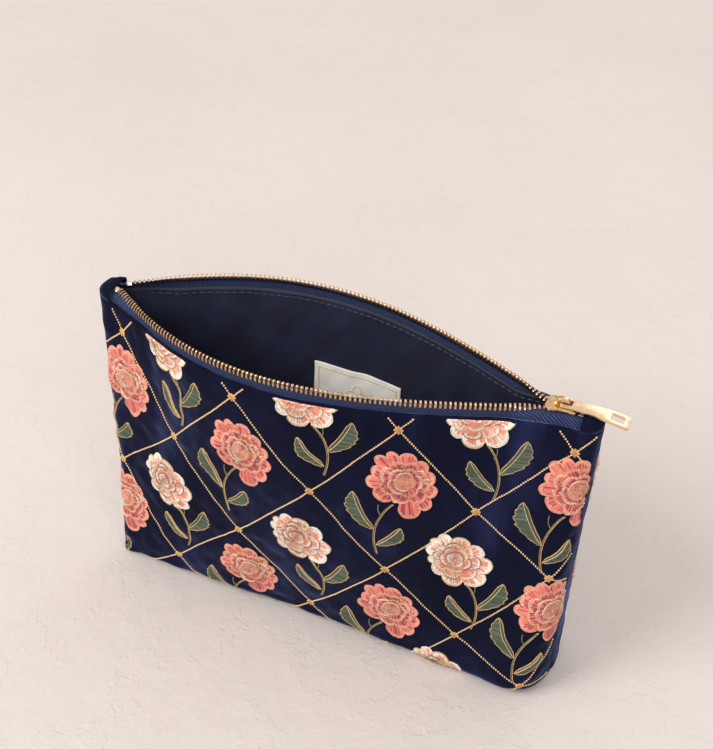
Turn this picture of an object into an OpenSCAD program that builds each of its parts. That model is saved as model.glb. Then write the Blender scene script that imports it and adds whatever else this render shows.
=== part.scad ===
// Zippered pouch with a boxed base, a metal zip and a swinging pull.
// Millimetres. +X runs towards the end where the slider waits, -Y is the
// front and +Z is up. The base rests on z = 0.

/* [Pouch] */
// Left side seam at the zip
seam_left = -110; // [-112:0.5:-108]
// Right side seam at the zip
seam_right = 121; // [119:0.5:124]
// Left side seam at the base
foot_left = -102; // [-106:0.5:-98]
// Right side seam at the base
foot_right = 118.5; // [115:0.5:121]
// Height of the zip cord at both ends
zip_height = 151.3; // [135:0.1:165]
// Extra height of the zip at mid length
zip_rise = 1.6; // [0:0.1:3]
// Drop from the zip cord to the edge of the outer cloth
tape_show = 4.3; // [3.8:0.1:6]
// Radius of the rolled right side seam, seen from above
round_right = 6; // [5:0.1:7]
// Length of the taper to the left side seam, seen from above
round_left = 14; // [12:0.5:16]
// Radius of the turn from wall to base
base_round = 9; // [7:0.5:11]
// Belly of the walls
belly = 4.6; // [2:0.1:7]
// Half depth of the base near the left end
base_left = 18; // [17:0.5:22]
// Half depth of the base near the right end
base_right = 27; // [23:0.5:30]
// How late along the base its depth grows
base_growth = 3.5; // [2:0.1:5]
// Squareness of the left end of the base
power_left = 4; // [3:1:8]
// Squareness of the right end of the base
power_right = 16; // [10:1:20]
// Lean of the left seam at the base, backwards
lean_left = -12; // [-13:0.5:-6]
// Lean of the right seam at the base, backwards
lean_right = 5; // [0:0.5:8]

/* [Layers] */
// Thickness of the velvet with its backing
velvet_t = 1.4; // [1.2:0.1:1.6]
// Thickness of the interlining
interlining_t = 0.85; // [0.7:0.05:1]
// Thickness of the lining
lining_t = 0.75; // [0.5:0.05:1]
// Air between two layers
layer_gap = 0.15; // [0.1:0.05:0.2]
// Thickness of the velvet end tabs
tab_t = 1; // [0.8:0.1:1.2]
// Height of the end tabs over the zip cord
tab_rise = 1.9; // [1.7:0.1:2.4]
// Thickness of the woven label
label_t = 0.4; // [0.3:0.05:0.6]
// Length of one topstitch
stitch_len = 2.6; // [2:0.1:3]
// Distance from one topstitch to the next
stitch_step = 3.4; // [3.2:0.1:5]

/* [Zip] */
// Spacing of the teeth on one tape
tooth_pitch = 2; // [1.98:0.01:2.02]
// Teeth in the open run of one tape
open_teeth = 104; // [103:1:105]
// Length of a tooth along the tape
tooth_len = 0.9; // [0.7:0.05:0.95]
// Thickness of a tooth through the tape
tooth_t = 2.2; // [1.8:0.1:2.4]
// Reach of the legs behind the cord
tooth_leg = 0.9; // [0.8:0.05:1]
// Reach of the head in front of the cord
tooth_head = 2.15; // [1.8:0.05:2.2]
// Radius of the cord on the edge of the tape
cord_r = 0.58; // [0.5:0.02:0.64]
// Thickness of the tape
tape_t = 0.5; // [0.4:0.05:0.6]
// Half gap between the cords when the zip is shut
shut_gap = 1.45; // [1.4:0.05:1.6]
// Half gap between the cords at the left end
left_gap = 3.8; // [3.5:0.1:4.2]
// Half gap between the cords at the nose of the slider
nose_gap = 3.05; // [2.95:0.05:3.2]
// Opening of the mouth, half of it, in the middle
mouth_bow = 32.4; // [31:0.1:33.5]
// Shift of the mouth towards the left end
mouth_skew = 2.4; // [1:0.1:3]

/* [Slider] */
// Position of the nose of the slider
nose_x = 96.4; // [95.8:0.1:97]
// Length of the slider
slider_len = 13.2; // [12.6:0.1:13.6]
// Thickness of the two plates
plate_t = 0.8; // [0.5:0.05:1.2]
// Half height of the channel between the plates
channel_h = 1.35; // [1.2:0.05:1.8]
// Thickness of the side flanges
flange_t = 0.55; // [0.4:0.05:0.9]
// Half height of the slot for the tape
tape_slot = 0.65; // [0.4:0.05:0.9]
// Height of the rails on the upper plate
rail_h = 0.35; // [0:0.05:0.6]
// Distance from the nose to the pivot of the pull
pivot_back = 6.6; // [5.5:0.1:7.5]
// Height of the pivot over the upper plate
pivot_up = 1.15; // [1:0.05:2]
// Half length of the crown
crown_half = 3.3; // [2.5:0.1:3.6]
// Height of the crown over the pivot
crown_top = 2.3; // [1.8:0.1:3]
// Width of the crown
crown_w = 2.4; // [1.5:0.1:3]

/* [Pull] */
// Length from the pivot to the free end
pull_len = 27.5; // [15:0.5:45]
// Thickness of the pull
pull_t = 1.2; // [0.8:0.1:2]
// Radius of the bar that turns in the crown
bar_r = 0.65; // [0.4:0.05:0.9]
// Width at the eye
pull_eye_w = 5.4; // [4:0.1:8]
// Width at the free end
pull_end_w = 7.6; // [5:0.1:12]
// Length of the slot near the free end
pull_slot_len = 5.6; // [3:0.1:10]
// Width of the slot near the free end
pull_slot_w = 4.4; // [2:0.1:8]
// Droop of the free end
pull_droop = 2.2; // [0:0.1:4]

/* [Output] */
// Sub-part to build, or all

/* [Hidden] */
// Half gap between the front and back walls along the seams
slit = 0.15;
// Segments of a wall: along it, down it, round its turn and under the base
seg_u = 28;
seg_wall = 8;
seg_turn = 3;
seg_base = 2;
// Stretches along a wall that are cut finer, as shares of its length
fine_left = [0.02, 0.09];
fine_right = [0.76, 0.94];
fine_parts = 3;
// Shares of the way down a wall where the turn and the base begin
turn_at = 0.7;
base_at = 0.85;
// Pitches of cord hidden under the two end tabs
hide_left = 3;
hide_right = 10;
// Widening of the gap for each tooth, next to the left tab
left_slope = (PI * (mouth_bow + 2 * mouth_skew) + nose_gap - left_gap) / open_teeth;
// Distances of the layers from the outer face
inter_o = velvet_t + layer_gap;
lining_o = inter_o + interlining_t + layer_gap;
inside_o = lining_o + lining_t;
tape_o = velvet_t + 0.35;
// Depth of the tape between the layers, as a share of the way down
tuck = 0.035;
// Place of the label on the back lining, and its distance from it
label_from = 0.382;
label_to = 0.582;
label_high = 0.169;
label_low = 0.296;
label_gap = 0.3;
// Topstitching: its ends, its row, its section and its distance from the lining
stitch_inset = 17;
stitch_row = 0.014;
stitch_w = 0.34;
stitch_gap = 0.6;
// Flat part of the tape next to the cord
web = 3;
// Slider, pivot and stop
plate_top = zip_height + channel_h + plate_t;
pivot_x = nose_x + pivot_back;
pivot_z = plate_top + pivot_up;
stop_x = nose_x + slider_len + 0.7;
stop_len = 2;
// Inner edges of the end tabs
tab_left_x = seam_left + 8.4;
tab_right_x = stop_x + stop_len + 0.5;

VELVET = [0.10, 0.11, 0.27];
PADDING = [0.55, 0.55, 0.58];
LINING = [0.05, 0.06, 0.14];
TAPE = [0.12, 0.17, 0.36];
BRASS = [0.80, 0.60, 0.32];
GOLD = [0.90, 0.76, 0.50];
CREAM = [0.93, 0.90, 0.82];
THREAD = [0.10, 0.12, 0.25];

// ---- small helpers -------------------------------------------------------

function mix(a, b, f) = a + (b - a) * f;
function clamp(v) = max(0, min(1, v));
function ease(v) = (1 - cos(180 * clamp(v))) / 2;
function unit(v) = v / norm(v);
function arc(s, r) = sqrt(1 - pow(1 - clamp(s / r), 2));

// ---- run of the zip cords ------------------------------------------------

// How far a tooth stands up: 0 lies flat, 1 is upright
function stand(i) =
  min(0.35 + 0.65 * ease(i / 14), ease((open_teeth - i) / 9));

// Half gap of the cords at tooth i, counted from the left end
function half_gap(i) =
  i <= 0 ? left_gap + left_slope * (i + i * i / 8) :
  i <= open_teeth ? let (t = i / open_teeth)
    mouth_bow * sin(180 * t) + mouth_skew * sin(360 * t)
    + mix(left_gap, nose_gap, t) :
  mix(nose_gap, shut_gap, ease((i - open_teeth) / 5));

function cord_z(i) = zip_height + zip_rise * sin(180 * clamp(i / open_teeth));

steps = [for (i = [-hide_left : open_teeth + hide_right]) i];
gaps = [for (i = steps) half_gap(i)];
rises = [for (i = steps) cord_z(i)];
strides = [for (k = [0 : len(steps) - 2])
  sqrt(pow(tooth_pitch, 2) - pow(gaps[k + 1] - gaps[k], 2)
    - pow(rises[k + 1] - rises[k], 2))];
travel = [for (k = 0, s = 0; k < len(steps);
  s = s + (k < len(strides) ? strides[k] : 0), k = k + 1) s];
x_shift = nose_x - travel[open_teeth + hide_left];
cord_x = [for (k = [0 : len(steps) - 1]) [steps[k], travel[k] + x_shift]];
gap_at = [for (k = [0 : len(steps) - 1]) [travel[k] + x_shift, gaps[k]]];
rise_at = [for (k = [0 : len(steps) - 1]) [travel[k] + x_shift, rises[k]]];
stand_at = [for (k = [0 : len(steps) - 1])
  [travel[k] + x_shift, clamp(stand(steps[k]))]];

function cord(sgn, i) = let (x = lookup(i, cord_x))
  [x, sgn * lookup(x, gap_at), lookup(x, rise_at)];

// Axes of a tooth: along the cord, towards the other tape, through the tape
function cord_axes(sgn, i) = let (
  along = unit(cord(sgn, i + 0.6) - cord(sgn, i - 0.6)),
  raw = [0, -sgn, 0],
  flat = unit(raw - (raw * along) * along),
  rise = unit([0, 0, 1] - along[2] * along),
  turn = 90 * clamp(stand(i)),
  mate = flat * cos(turn) + rise * sin(turn))
  [along, mate, cross(along, mate)];

// ---- walls ---------------------------------------------------------------

// Half depth and height of the upper edge of the outer wall
function top_gap(x) = let (g = lookup(x, gap_at) - left_gap)
  left_gap + (x < 0 ? (g + sqrt(g * g + 2)) / 2 : g);
function top_y(x) = top_gap(x) + tape_o + 0.25
  + 4.5 * (1 - lookup(x, stand_at));
function top_z(x) = lookup(x, rise_at)
  - tape_show * (0.7 + 0.3 * lookup(x, stand_at));

// Middle line of the base, and its half depth on one side of that line
function base_mid(x) =
  mix(lean_left, lean_right, clamp((x - foot_left) / (foot_right - foot_left)));
function base_y(sgn, x, o) = let (
  t = (x - foot_left) / (foot_right - foot_left),
  reach = (foot_right - foot_left) / 2 - o,
  off = clamp(abs(x - (foot_left + foot_right) / 2) / reach),
  square = t < 0.5 ? power_left : power_right,
  deep = mix(base_left, base_right, pow(clamp(t), base_growth)) - o
    - sgn * base_mid(x))
  deep * sqrt(1 - pow(off, square));

// Rounding of a wall towards its nearest side seam, 0 at the seam, o in
function end_arc(x, o) = x < 0 ?
  arc(x - seam_left - o, round_left - 0.6 * o) :
  arc(seam_right - o - x, round_right - 0.6 * o);

// Point of a wall: sgn -1 front and 1 back, u along, w from top to base, o in
function wall(sgn, u, w, o) = let (
  xt = mix(seam_left + o, seam_right - o, u),
  xb = mix(foot_left + o, foot_right - o, u),
  fall = clamp(w / turn_at),
  x = mix(xt, xb, 1 - pow(1 - fall, 2.2)),
  e = end_arc(xt, o),
  full = belly * pow(sin(180 * clamp(u)), 0.6),
  yt = (top_y(xt) - o) * e + slit,
  yb = base_y(sgn, xb, o) + slit,
  rc = min(base_round - o, 0.85 * yb),
  q = w < turn_at ? fall :
    w < base_at ? (w - turn_at) / (base_at - turn_at) :
    (w - base_at) / (1 - base_at),
  y = w < turn_at ? mix(yt, yb, q) + full * 4 * q * (1 - q) :
    w < base_at ? yb - rc * (1 - cos(90 * q)) :
    mix(yb - rc, slit, q),
  z = w < turn_at ? mix(top_z(xt), o + rc, q) :
    w < base_at ? o + rc * (1 - sin(90 * q)) : o)
  [x, sgn * y + fall * base_mid(xb), z];

// Columns of a wall, closer together where the mouth runs into its ends
function within(v, range) = v > range[0] && v < range[1];
columns = let (even = [for (k = [0 : seg_u]) (1 - cos(180 * k / seg_u)) / 2])
  concat([for (k = [0 : seg_u - 1]) let (
      fine = within(even[k], fine_left) || within(even[k], fine_right),
      m = fine ? fine_parts : 1)
    for (j = [0 : m - 1]) mix(even[k], even[k + 1], j / m)], [1]);
function rows(w0) = concat(
  [for (k = [0 : seg_wall - 1]) mix(w0, turn_at, k / seg_wall)],
  [for (k = [0 : seg_turn - 1]) mix(turn_at, base_at, k / seg_turn)],
  [for (k = [0 : seg_base]) mix(base_at, 1, k / seg_base)]);

// ---- closed skins --------------------------------------------------------

function quad(a, b, c, d, flip) =
  flip ? [[a, c, b], [a, d, c]] : [[a, b, c], [a, c, d]];

function skin_faces(nr, nc, flip) = let (
  n = nr * nc,
  open = [for (r = [0 : nr - 2]) for (c = [0 : nc - 2])
    for (f = quad(r * nc + c, r * nc + c + 1,
      (r + 1) * nc + c + 1, (r + 1) * nc + c, flip)) f],
  inner = [for (f = open) [f[0] + n, f[2] + n, f[1] + n]],
  top = [for (c = [0 : nc - 2])
    for (f = quad(c, c + n, c + 1 + n, c + 1, flip)) f],
  low = [for (c = [0 : nc - 2]) let (b = (nr - 1) * nc + c)
    for (f = quad(b, b + 1, b + 1 + n, b + n, flip)) f],
  left = [for (r = [0 : nr - 2]) let (b = r * nc)
    for (f = quad(b, b + nc, b + nc + n, b + n, flip)) f],
  right = [for (r = [0 : nr - 2]) let (b = r * nc + nc - 1)
    for (f = quad(b, b + n, b + nc + n, b + nc, flip)) f])
  concat(open, inner, top, low, left, right);

module wall_skin(sgn, us, ws, o1, o2) {
  pts = [for (o = [o1, o2]) for (w = ws) for (u = us) wall(sgn, u, w, o)];
  polyhedron(pts, skin_faces(len(ws), len(us), sgn > 0), convexity = 10);
}

// Sweep of a ring of points; rings are listed one after another
module sweep(rings, flip) {
  n = len(rings[0]);
  m = len(rings);
  pts = [for (r = rings) for (p = r) p];
  side = [for (k = [0 : m - 2]) for (j = [0 : n - 1])
    for (f = quad(k * n + j, k * n + (j + 1) % n,
      (k + 1) * n + (j + 1) % n, (k + 1) * n + j, flip)) f];
  first = [for (j = [0 : n - 1]) flip ? j : n - 1 - j];
  last = [for (j = [0 : n - 1]) (m - 1) * n + (flip ? n - 1 - j : j)];
  polyhedron(pts, concat(side, [first], [last]), convexity = 10);
}

// ---- end tabs ------------------------------------------------------------

// Saddle over one end of the zip: u from the zip outwards, v front to back
function saddle(x_in, x_out, u, v, o) = let (
  x = mix(x_in, x_out - o * sign(x_out), u),
  e = end_arc(x, o),
  drop = arc(abs(x_out) - o - abs(x), round_right - 0.6 * o),
  low = top_z(x) + 0.3,
  high = zip_height + tab_rise - o,
  yy = (top_y(x) - o) * e + 0.02)
  [x, -yy * cos(180 * v), low + (high - low) * drop * pow(sin(180 * v), 0.4)];

module end_tab(x_in, x_out) {
  nu = 8;
  nv = 16;
  us = [for (k = [0 : nu]) sin(90 * k / nu)];
  vs = [for (k = [0 : nv]) k / nv];
  pts = [for (o = [0, tab_t]) for (v = vs) for (u = us)
    saddle(x_in, x_out, u, v, o)];
  polyhedron(pts, skin_faces(nv + 1, nu + 1, x_out > 0), convexity = 10);
}

// ---- zip pieces ----------------------------------------------------------

// Ring of the tape: a round cord, the web and the tail between the layers
function tape_ring(sgn, i) = let (
  c = cord(sgn, i),
  ax = cord_axes(sgn, i),
  out = ax[2] * -sgn,
  u1 = (c[0] - seam_left - tape_o) / (seam_right - seam_left - 2 * tape_o),
  o2 = tape_o + tape_t,
  u2 = (c[0] - seam_left - o2) / (seam_right - seam_left - 2 * o2),
  half = tape_t / 2)
  concat([c - ax[1] * web + out * half],
    [for (a = [155, 115, 60, 20, -20, -60, -115, -155])
      c + cord_r * (cos(a) * ax[1] + sin(a) * out)],
    [c - ax[1] * web - out * half],
    [wall(sgn, u2, 0, o2), wall(sgn, u2, tuck, o2)],
    [wall(sgn, u1, tuck, tape_o), wall(sgn, u1, 0, tape_o)]);

module tape(sgn) {
  at = concat([for (i = [-hide_left : 2]) i], [for (i = [4 : 2 : open_teeth - 4]) i],
    [for (i = [open_teeth - 3 : open_teeth + 9]) i]);
  sweep([for (i = at) tape_ring(sgn, i)], sgn < 0);
}

module on_cord(sgn, i) {
  c = cord(sgn, i);
  a = cord_axes(sgn, i);
  multmatrix([[a[1][0], a[2][0], a[0][0], c[0]],
    [a[1][1], a[2][1], a[0][1], c[1]],
    [a[1][2], a[2][2], a[0][2], c[2]],
    [0, 0, 0, 1]]) children();
}

module tooth() {
  h = tooth_t / 2;
  slot = cord_r + 0.06;
  linear_extrude(height = tooth_len, center = true)
    polygon([[-tooth_leg, h], [0.95, h], [1.55, h * 0.8],
      [tooth_head, h * 0.42], [tooth_head, -h * 0.42], [1.55, -h * 0.8],
      [0.95, -h], [-tooth_leg, -h], [-tooth_leg, -slot], [slot, -slot],
      [slot, slot], [-tooth_leg, slot]]);
}

module teeth(sgn, first, last) {
  for (i = [first : last]) on_cord(sgn, i) tooth();
}

module top_stop(sgn, i) {
  slot = cord_r + 0.06;
  on_cord(sgn, i) linear_extrude(height = 2.3, center = true)
    polygon([[-1.2, 1.2], [1, 1.2], [1.5, 0.7], [1.5, -0.7], [1, -1.2],
      [-1.2, -1.2], [-1.2, -slot], [slot, -slot], [slot, slot], [-1.2, slot]]);
}

// ---- slider --------------------------------------------------------------

function slider_gap(s) = mix(nose_gap, shut_gap, ease(s / (5 * tooth_pitch)));
function slider_half(s) = slider_gap(max(s, 0)) + tooth_leg + 0.2 + flange_t;

// Strip along one side of the slider between two distances from its middle
function side_strip(s0, s1, outer, inner) = let (n = 12)
  concat([for (k = [0 : n]) let (s = mix(s0, s1, k / n))
      [s, slider_half(s) - outer]],
    [for (k = [n : -1 : 0]) let (s = mix(s0, s1, k / n))
      [s, slider_half(s) - inner]]);

module plate_plan() {
  n = 16;
  r = 2.2;
  upper = [for (k = [0 : n]) let (s = slider_len * (1 - cos(180 * k / n)) / 2)
    [s, slider_half(s) - r * (1 - arc(s, r))
      - 1.2 * (1 - arc(slider_len - s, 1.2))]];
  polygon(concat(upper, [for (k = [n : -1 : 0]) [upper[k][0], -upper[k][1]]]));
}

module both_sides() {
  children();
  mirror([0, 1, 0]) children();
}

// ---- sub-parts -----------------------------------------------------------

module front_panel() {
  color(VELVET) wall_skin(-1, columns, rows(0), 0, velvet_t);
}

module back_panel() {
  color(VELVET) wall_skin(1, columns, rows(0), 0, velvet_t);
}

module front_interlining() {
  color(PADDING)
    wall_skin(-1, columns, rows(0.05), inter_o, inter_o + interlining_t);
}

module back_interlining() {
  color(PADDING)
    wall_skin(1, columns, rows(0.05), inter_o, inter_o + interlining_t);
}

module front_lining() {
  color(LINING) wall_skin(-1, columns, rows(0), lining_o, inside_o);
}

module back_lining() {
  color(LINING) wall_skin(1, columns, rows(0), lining_o, inside_o);
}

module left_end_tab() {
  color(VELVET) end_tab(tab_left_x, seam_left);
}

module right_end_tab() {
  color(VELVET) end_tab(tab_right_x, seam_right);
}

module woven_label() {
  us = [for (k = [0 : 6]) mix(label_from, label_to, k / 6)];
  ws = [for (k = [0 : 3]) mix(label_high, label_low, k / 3)];
  color(CREAM) wall_skin(1, us, ws, inside_o + label_gap, inside_o + label_gap + label_t);
}

module stitching(sgn) {
  n = floor((seam_right - seam_left - 2 * stitch_inset) / stitch_step);
  for (k = [0 : n]) {
    u = (stitch_inset + k * stitch_step) / (seam_right - seam_left);
    du = 0.5 * stitch_len / (seam_right - seam_left);
    o = inside_o + stitch_gap;
    a = wall(sgn, u - du, stitch_row, o);
    b = wall(sgn, u + du, stitch_row, o);
    d = b - a;
    translate((a + b) / 2)
      rotate([0, -asin(d[2] / norm(d)), atan2(d[1], d[0])])
        cube([stitch_len, stitch_w, stitch_w], center = true);
  }
}

module front_stitching() {
  color(THREAD) stitching(-1);
}

module back_stitching() {
  color(THREAD) stitching(1);
}

module front_tape() {
  color(TAPE) tape(-1);
}

module back_tape() {
  color(TAPE) tape(1);
}

module front_teeth() {
  color(BRASS) teeth(-1, 0, open_teeth + 6);
}

module back_teeth() {
  color(BRASS) teeth(1, 1.5, open_teeth + 5.5);
}

module front_top_stop() {
  color(GOLD) top_stop(-1, -1);
}

module back_top_stop() {
  color(GOLD) top_stop(1, 0.2);
}

module bottom_stop() {
  slot = cord_r + 0.06;
  w = shut_gap + 1.2;
  color(GOLD) translate([stop_x + stop_len, 0, zip_height])
    rotate([0, -90, 0]) linear_extrude(height = stop_len)
      polygon([[1.2, -w], [1.2, w], [slot, w], [slot, shut_gap - slot],
        [-slot, shut_gap - slot], [-slot, w], [-1.2, w], [-1.2, -w],
        [-slot, -w], [-slot, slot - shut_gap], [slot, slot - shut_gap],
        [slot, -w]]);
}

module slider_body() {
  color(GOLD) translate([nose_x, 0, zip_height]) {
    translate([0, 0, channel_h]) linear_extrude(height = plate_t) plate_plan();
    translate([0, 0, -channel_h - plate_t])
      linear_extrude(height = plate_t) plate_plan();
    both_sides() {
      translate([0, 0, tape_slot])
        linear_extrude(height = channel_h - tape_slot + 0.01)
          polygon(side_strip(1.6, slider_len - 0.9, 0, flange_t));
      translate([0, 0, -channel_h - 0.01])
        linear_extrude(height = channel_h - tape_slot + 0.01)
          polygon(side_strip(1.6, slider_len - 0.9, 0, flange_t));
      translate([0, 0, channel_h + plate_t - 0.01])
        linear_extrude(height = rail_h + 0.01)
          polygon(side_strip(2, slider_len - 1.6, 0.02, 0.75));
    }
    translate([0, 0, -channel_h - 0.01])
      linear_extrude(height = 2 * channel_h + 0.02)
        polygon([[0.35, 0], [1.6, 0.42], [4.2, 0], [1.6, -0.42]]);
  }
}

module slider_crown() {
  n = 20;
  outer = [for (k = [0 : n]) let (a = 180 * k / n)
    [crown_half * sign(cos(a)) * pow(abs(cos(a)), 0.7),
      -pivot_up + (crown_top + pivot_up) * pow(sin(a), 0.7)]];
  inner = [for (k = [0 : n]) let (a = 180 - 180 * k / n)
    [(bar_r + 0.4) * cos(a), (bar_r + 0.4) * sin(a)]];
  color(GOLD) translate([pivot_x, crown_w / 2, pivot_z]) rotate([90, 0, 0])
    linear_extrude(height = crown_w)
      polygon(concat(outer, [[-bar_r - 0.4, -pivot_up]], inner,
        [[bar_r + 0.4, -pivot_up]]));
}

function pull_half(x) = x < 2.6 ? pull_eye_w / 2 :
  mix(pull_eye_w, pull_end_w, ease((x - 2.6) / (pull_len - 6))) / 2;
function pull_mid(x) = -pull_droop * pow(max(x - 8, 0) / (pull_len - 8), 2);

module pull_plan() {
  n = 24;
  upper = [for (k = [0 : n]) let (x = pull_len * (1 - cos(180 * k / n)) / 2)
    [x, pull_half(x) - 1 * (1 - arc(pull_len - x, 1))]];
  slot_x = pull_len - 2.1 - pull_slot_len;
  difference() {
    polygon(concat(upper,
      [for (k = [n : -1 : 0]) [upper[k][0], -upper[k][1]]]));
    translate([bar_r + 0.05, -1.65]) square([3.3, 3.3]);
    translate([slot_x, -pull_slot_w / 2]) square([pull_slot_len, pull_slot_w]);
  }
}

module pull_side() {
  n = 16;
  polygon(concat(
    [for (k = [0 : n]) let (x = pull_len * k / n) [x, pull_mid(x) + pull_t / 2]],
    [for (k = [n : -1 : 0]) let (x = pull_len * k / n)
      [x, pull_mid(x) - pull_t / 2]]));
}

module pull_tab() {
  color(GOLD) translate([pivot_x, 0, pivot_z]) {
    intersection() {
      translate([0, 0, -5]) linear_extrude(height = 8) pull_plan();
      translate([0, 6, 0]) rotate([90, 0, 0])
        linear_extrude(height = 12) pull_side();
    }
    rotate([90, 0, 0])
      cylinder(h = pull_eye_w, r = bar_r, center = true, $fn = 40);
  }
}

front_panel();
back_panel();
front_interlining();
back_interlining();
front_lining();
back_lining();
left_end_tab();
right_end_tab();
woven_label();
front_stitching();
back_stitching();
front_tape();
back_tape();
front_teeth();
back_teeth();
front_top_stop();
back_top_stop();
bottom_stop();
slider_body();
slider_crown();
pull_tab();
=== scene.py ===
"""Looks of the zippered pouch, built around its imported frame. Lengths are in millimetres until mesh time."""

import math
import random

import bmesh
import bpy
import numpy as np
from mathutils import Matrix, Vector

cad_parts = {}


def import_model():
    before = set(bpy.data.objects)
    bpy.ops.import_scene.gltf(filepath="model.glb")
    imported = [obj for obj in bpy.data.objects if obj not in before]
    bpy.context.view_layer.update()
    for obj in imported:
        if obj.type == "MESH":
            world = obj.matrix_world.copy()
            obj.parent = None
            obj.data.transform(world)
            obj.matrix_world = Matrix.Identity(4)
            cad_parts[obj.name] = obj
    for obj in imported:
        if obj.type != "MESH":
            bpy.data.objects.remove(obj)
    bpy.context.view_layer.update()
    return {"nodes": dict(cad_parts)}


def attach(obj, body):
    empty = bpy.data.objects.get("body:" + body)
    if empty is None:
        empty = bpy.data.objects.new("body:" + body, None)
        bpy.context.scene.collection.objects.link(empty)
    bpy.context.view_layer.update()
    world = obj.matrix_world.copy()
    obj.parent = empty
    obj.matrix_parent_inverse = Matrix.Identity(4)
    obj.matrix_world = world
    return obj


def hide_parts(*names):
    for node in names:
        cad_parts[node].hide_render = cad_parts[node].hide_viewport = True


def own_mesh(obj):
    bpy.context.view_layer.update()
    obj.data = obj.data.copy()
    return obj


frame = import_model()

MM = 0.001
FRONT, BACK = -1, 1

# ---- driving dimensions, the same ones that shape the frame ----------------

SEAM_LEFT, SEAM_RIGHT = -110.0, 121.0
FOOT_LEFT, FOOT_RIGHT = -102.0, 118.5
ZIP_HEIGHT, ZIP_RISE, TAPE_SHOW = 151.3, 1.6, 4.3
ROUND_LEFT, ROUND_RIGHT = 14.0, 6.0
BASE_ROUND, BELLY = 9.0, 4.6
BASE_LEFT, BASE_RIGHT, BASE_GROWTH = 18.0, 27.0, 3.5
POWER_LEFT, POWER_RIGHT = 4.0, 16.0
LEAN_LEFT, LEAN_RIGHT = -12.0, 5.0
VELVET_T, INTERLINING_T, LINING_T, LAYER_GAP = 1.4, 0.85, 0.75, 0.15
TAB_T, TAB_RISE = 1.0, 1.9
TOOTH_PITCH, OPEN_TEETH = 2.0, 104
TOOTH_LEN, TOOTH_T, TOOTH_LEG, TOOTH_HEAD = 0.9, 2.2, 0.9, 2.15
CORD_R, TAPE_T, WEB = 0.58, 0.5, 3.0
SHUT_GAP, LEFT_GAP, NOSE_GAP = 1.45, 3.8, 3.05
MOUTH_BOW, MOUTH_SKEW = 32.4, 2.4
NOSE_X = 96.4
TAPE_O = VELVET_T + 0.35
LINING_O = VELVET_T + INTERLINING_T + 2 * LAYER_GAP
INSIDE_O = LINING_O + LINING_T
SLIT = 0.15
TURN_AT, BASE_AT = 0.7, 0.85
TUCK = 0.035
UNDER_CLEAR, FLOOR_CLEAR = 0.7, 0.02
LONGEST_STITCH = 4.0
STITCH_INSET, STITCH_ROW = 17.0, 0.014
TAB_LEFT_X, TAB_RIGHT_X = SEAM_LEFT + 8.4, SEAM_RIGHT - 8.2
LABEL_U = (0.382, 0.582)
LABEL_W = (0.169, 0.296)
LABEL_W_MM, LABEL_H_MM = 46.0, 20.0


def mix(a, b, f):
    return a + (b - a) * f


def ease(v):
    v = np.clip(v, 0, 1)
    return (1 - np.cos(np.pi * v)) / 2


def arc(s, r):
    return np.sqrt(1 - (1 - np.clip(s / r, 0, 1)) ** 2)


# ---- run of the zip cords ---------------------------------------------------


def stand(i):
    """How far tooth i stands up: 0 lies flat, 1 is upright."""
    left = 0.35 + 0.65 * ease(i / 14)
    return np.clip(np.minimum(left, ease((OPEN_TEETH - i) / 9)), 0, 1)


def half_gap(i):
    t = i / OPEN_TEETH
    bow = MOUTH_BOW * np.sin(np.pi * t) + MOUTH_SKEW * np.sin(2 * np.pi * t)
    run = bow + mix(LEFT_GAP, NOSE_GAP, t)
    tail = mix(NOSE_GAP, SHUT_GAP, ease((i - OPEN_TEETH) / 5))
    slope = (math.pi * (MOUTH_BOW + 2 * MOUTH_SKEW) + NOSE_GAP - LEFT_GAP) / OPEN_TEETH
    under_tab = LEFT_GAP + slope * (i + i * i / 8)
    return np.where(i <= 0, under_tab, np.where(i <= OPEN_TEETH, run, tail))


STEPS = np.arange(-3, OPEN_TEETH + 11).astype(float)
GAPS = half_gap(STEPS)
RISES = ZIP_HEIGHT + ZIP_RISE * np.sin(np.pi * np.clip(STEPS / OPEN_TEETH, 0, 1))
STRIDES = np.sqrt(TOOTH_PITCH**2 - np.diff(GAPS) ** 2 - np.diff(RISES) ** 2)
CORD_X = np.concatenate([[0], np.cumsum(STRIDES)])
CORD_X += NOSE_X - CORD_X[OPEN_TEETH + 3]
STANDS = stand(STEPS)


def cord(side, i):
    x = np.interp(i, STEPS, CORD_X)
    return np.stack([x, side * np.interp(x, CORD_X, GAPS), np.interp(x, CORD_X, RISES)], -1)


def unit(v):
    return v / np.linalg.norm(v, axis=-1, keepdims=True)


def cord_axes(side, i):
    """Axes of a tooth: along the cord, towards the other tape, through the tape."""
    along = unit(cord(side, i + 0.6) - cord(side, i - 0.6))
    raw = np.array([0.0, -side, 0.0])
    flat = unit(raw - (along @ raw)[..., None] * along)
    up = unit(np.array([0.0, 0.0, 1.0]) - along[..., 2:3] * along)
    turn = np.pi / 2 * stand(i)[..., None]
    mate = flat * np.cos(turn) + up * np.sin(turn)
    return along, mate, np.cross(along, mate)


# ---- walls ------------------------------------------------------------------


def top_y(x):
    g = np.interp(x, CORD_X, GAPS) - LEFT_GAP
    gap = LEFT_GAP + np.where(x < 0, (g + np.sqrt(g * g + 2)) / 2, g)
    return gap + TAPE_O + 0.25 + 4.5 * (1 - np.interp(x, CORD_X, STANDS))


def top_z(x):
    drop = TAPE_SHOW * (0.7 + 0.3 * np.interp(x, CORD_X, STANDS))
    return np.interp(x, CORD_X, RISES) - drop


def base_mid(x):
    return mix(LEAN_LEFT, LEAN_RIGHT, np.clip((x - FOOT_LEFT) / (FOOT_RIGHT - FOOT_LEFT), 0, 1))


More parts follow.
